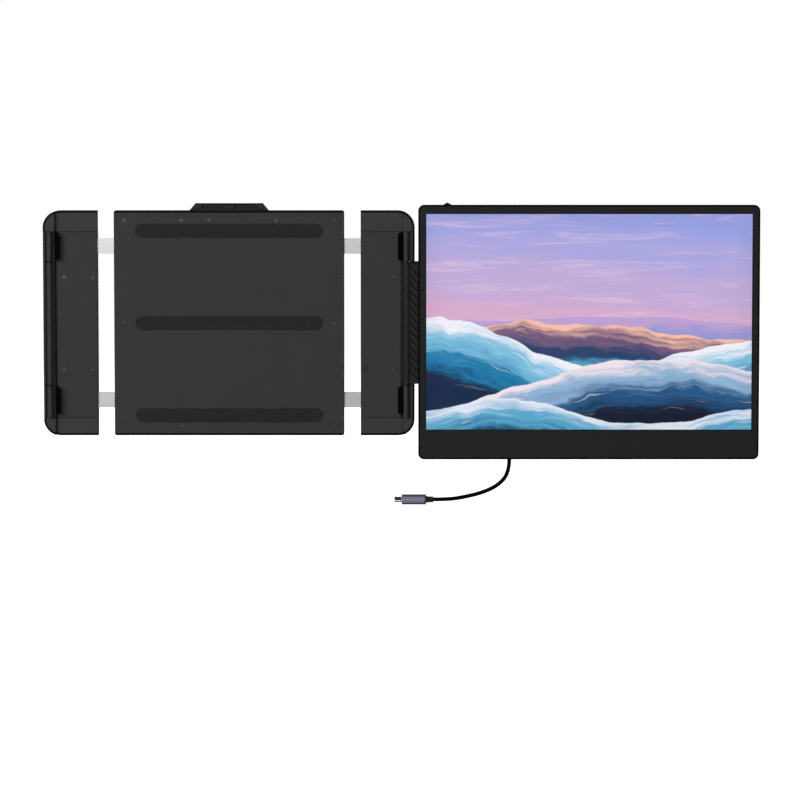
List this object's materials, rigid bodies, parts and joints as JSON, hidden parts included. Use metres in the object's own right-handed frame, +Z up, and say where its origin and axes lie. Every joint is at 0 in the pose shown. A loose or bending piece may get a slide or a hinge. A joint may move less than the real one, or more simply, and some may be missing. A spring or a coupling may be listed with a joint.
{
  "type": "laptop screen extender",
  "caption": "Telescoping frame that hooks over a laptop lid and carries a hinged portable monitor beside it, with a folding kickstand and a short USB-C cord.",
  "frame": {"origin": "centre of the face of the middle rubber pad, where the laptop lid rests", "axes": "+X to the right along the frame and the open monitor, +Y away from the viewer, +Z up the upright frame"},
  "size_m": [0.6509, 0.0424, 0.2728],
  "materials": {
    "housing_plastic": "fine spark-eroded satin black",
    "cap_plastic": "fine satin black",
    "arm_metal": "black anodised, satin",
    "stand_metal": "black anodised, brushed",
    "hinge_metal": "black anodised, grooved",
    "shell_metal": "fine texture black",
    "bezel_plastic": "smooth matte black",
    "guide_plastic": "moulded dark grey",
    "rubber": "soft matte black",
    "cord_rubber": "semi-matte black jacket",
    "hook_steel": "black powder coat",
    "rail_steel": "brushed lengthways",
    "tray_metal": "bright rolled sheet",
    "spring_steel": "bright rolled strip",
    "screw_steel": "black oxide",
    "socket_steel": "bright nickel",
    "board": "green solder mask",
    "light_guide": "clear acrylic sheet",
    "plug_metal": "grey anodised, satin",
    "display": null
  },
  "bodies": {
    "centre": {"front_cover": "housing_plastic", "rear_housing": "housing_plastic", "lid_pads": "rubber", "guide_blocks": "guide_plastic", "brake_springs": "spring_steel", "housing_screws": "screw_steel", "stand_bracket": "arm_metal", "stand_hinge_pin": "screw_steel"},
    "left_arm": {"left_frame": "arm_metal", "left_cover": "housing_plastic", "left_top_cap": "cap_plastic", "left_bottom_cap": "cap_plastic", "left_rails": "rail_steel", "left_hinge_pin": "screw_steel", "left_screws": "screw_steel", "left_hook_springs": "spring_steel", "left_blank_barrel": "hinge_metal"},
    "right_arm": {"right_frame": "arm_metal", "right_cover": "housing_plastic", "right_top_cap": "cap_plastic", "right_bottom_cap": "cap_plastic", "right_rails": "rail_steel", "right_hinge_pin": "screw_steel", "right_screws": "screw_steel", "right_hook_springs": "spring_steel", "right_hinge_washers": "spring_steel"},
    "left_upper_hook": {"left_upper_hook": "hook_steel", "left_upper_hook_pad": "rubber"},
    "left_lower_hook": {"left_lower_hook": "hook_steel", "left_lower_hook_pad": "rubber"},
    "right_upper_hook": {"right_upper_hook": "hook_steel", "right_upper_hook_pad": "rubber"},
    "right_lower_hook": {"right_lower_hook": "hook_steel", "right_lower_hook_pad": "rubber"},
    "monitor": {"hinge_plate": "hinge_metal", "plate_screws": "screw_steel", "backing_plate": "spring_steel", "front_bezel": "bezel_plastic", "lcd_panel": "display", "light_guide": "light_guide", "led_strip": "board", "panel_tray": "tray_metal", "rear_shell": "shell_metal", "shell_screws": "screw_steel", "main_board": "board", "usb_sockets": "socket_steel", "hdmi_socket": "socket_steel", "speakers": "guide_plastic", "rocker_switch": "guide_plastic", "cord": "cord_rubber", "monitor_plug": "plug_metal", "monitor_relief": "cord_rubber", "laptop_plug": "plug_metal", "laptop_relief": "cord_rubber"},
    "rocker_stem": {"rocker_stem": "spring_steel"},
    "rocker_cap": {"rocker_cap": "bezel_plastic"},
    "kickstand": {"stand_leaf": "stand_metal"},
    "stand_slider": {"stand_slider": "stand_metal", "stand_foot_pad": "rubber"}
  },
  "joints": [
    {"name": "left_arm_slide", "type": "slide", "parent": "centre", "child": "left_arm", "axis": [-1, 0, 0], "range_m": [-0.015, 0.045]},
    {"name": "right_arm_slide", "type": "slide", "parent": "centre", "child": "right_arm", "axis": [1, 0, 0], "range_m": [-0.015, 0.045]},
    {"name": "left_upper_hook_slide", "type": "slide", "parent": "left_arm", "child": "left_upper_hook", "axis": [0, -1, 0], "range_m": [0, 0.003], "stiffness_N_per_m": 400, "springref_m": -0.003, "deforming": ["left_hook_springs"]},
    {"name": "left_lower_hook_slide", "type": "slide", "parent": "left_arm", "child": "left_lower_hook", "axis": [0, -1, 0], "range_m": [0, 0.003], "stiffness_N_per_m": 400, "springref_m": -0.003, "deforming": ["left_hook_springs"]},
    {"name": "right_upper_hook_slide", "type": "slide", "parent": "right_arm", "child": "right_upper_hook", "axis": [0, -1, 0], "range_m": [0, 0.003], "stiffness_N_per_m": 400, "springref_m": -0.003, "deforming": ["right_hook_springs"]},
    {"name": "right_lower_hook_slide", "type": "slide", "parent": "right_arm", "child": "right_lower_hook", "axis": [0, -1, 0], "range_m": [0, 0.003], "stiffness_N_per_m": 400, "springref_m": -0.003, "deforming": ["right_hook_springs"]},
    {"name": "monitor_hinge", "type": "hinge", "parent": "right_arm", "child": "monitor", "pos_m": [0.1605, -0.0025, 0], "axis": [0, 0, 1], "range_deg": [-180, 15]},
    {"name": "rocker_press", "type": "slide", "parent": "monitor", "child": "rocker_stem", "axis": [0, 0, -1], "range_m": [0, 0.0005], "stiffness_N_per_m": 600, "springref_m": -0.001},
    {"name": "rocker_tilt", "type": "hinge", "parent": "rocker_stem", "child": "rocker_cap", "pos_m": [0.1983, 0.0089, 0.1049], "axis": [0, 1, 0], "range_deg": [-8, 8], "stiffness_Nm_per_rad": 0.02},
    {"name": "kickstand_hinge", "type": "hinge", "parent": "centre", "child": "kickstand", "pos_m": [0, 0.0095, 0.1056], "axis": [1, 0, 0], "range_deg": [0, 100]},
    {"name": "stand_leg_slide", "type": "slide", "parent": "kickstand", "child": "stand_slider", "axis": [0, 0, -1], "range_m": [0, 0.085]}
  ]
}
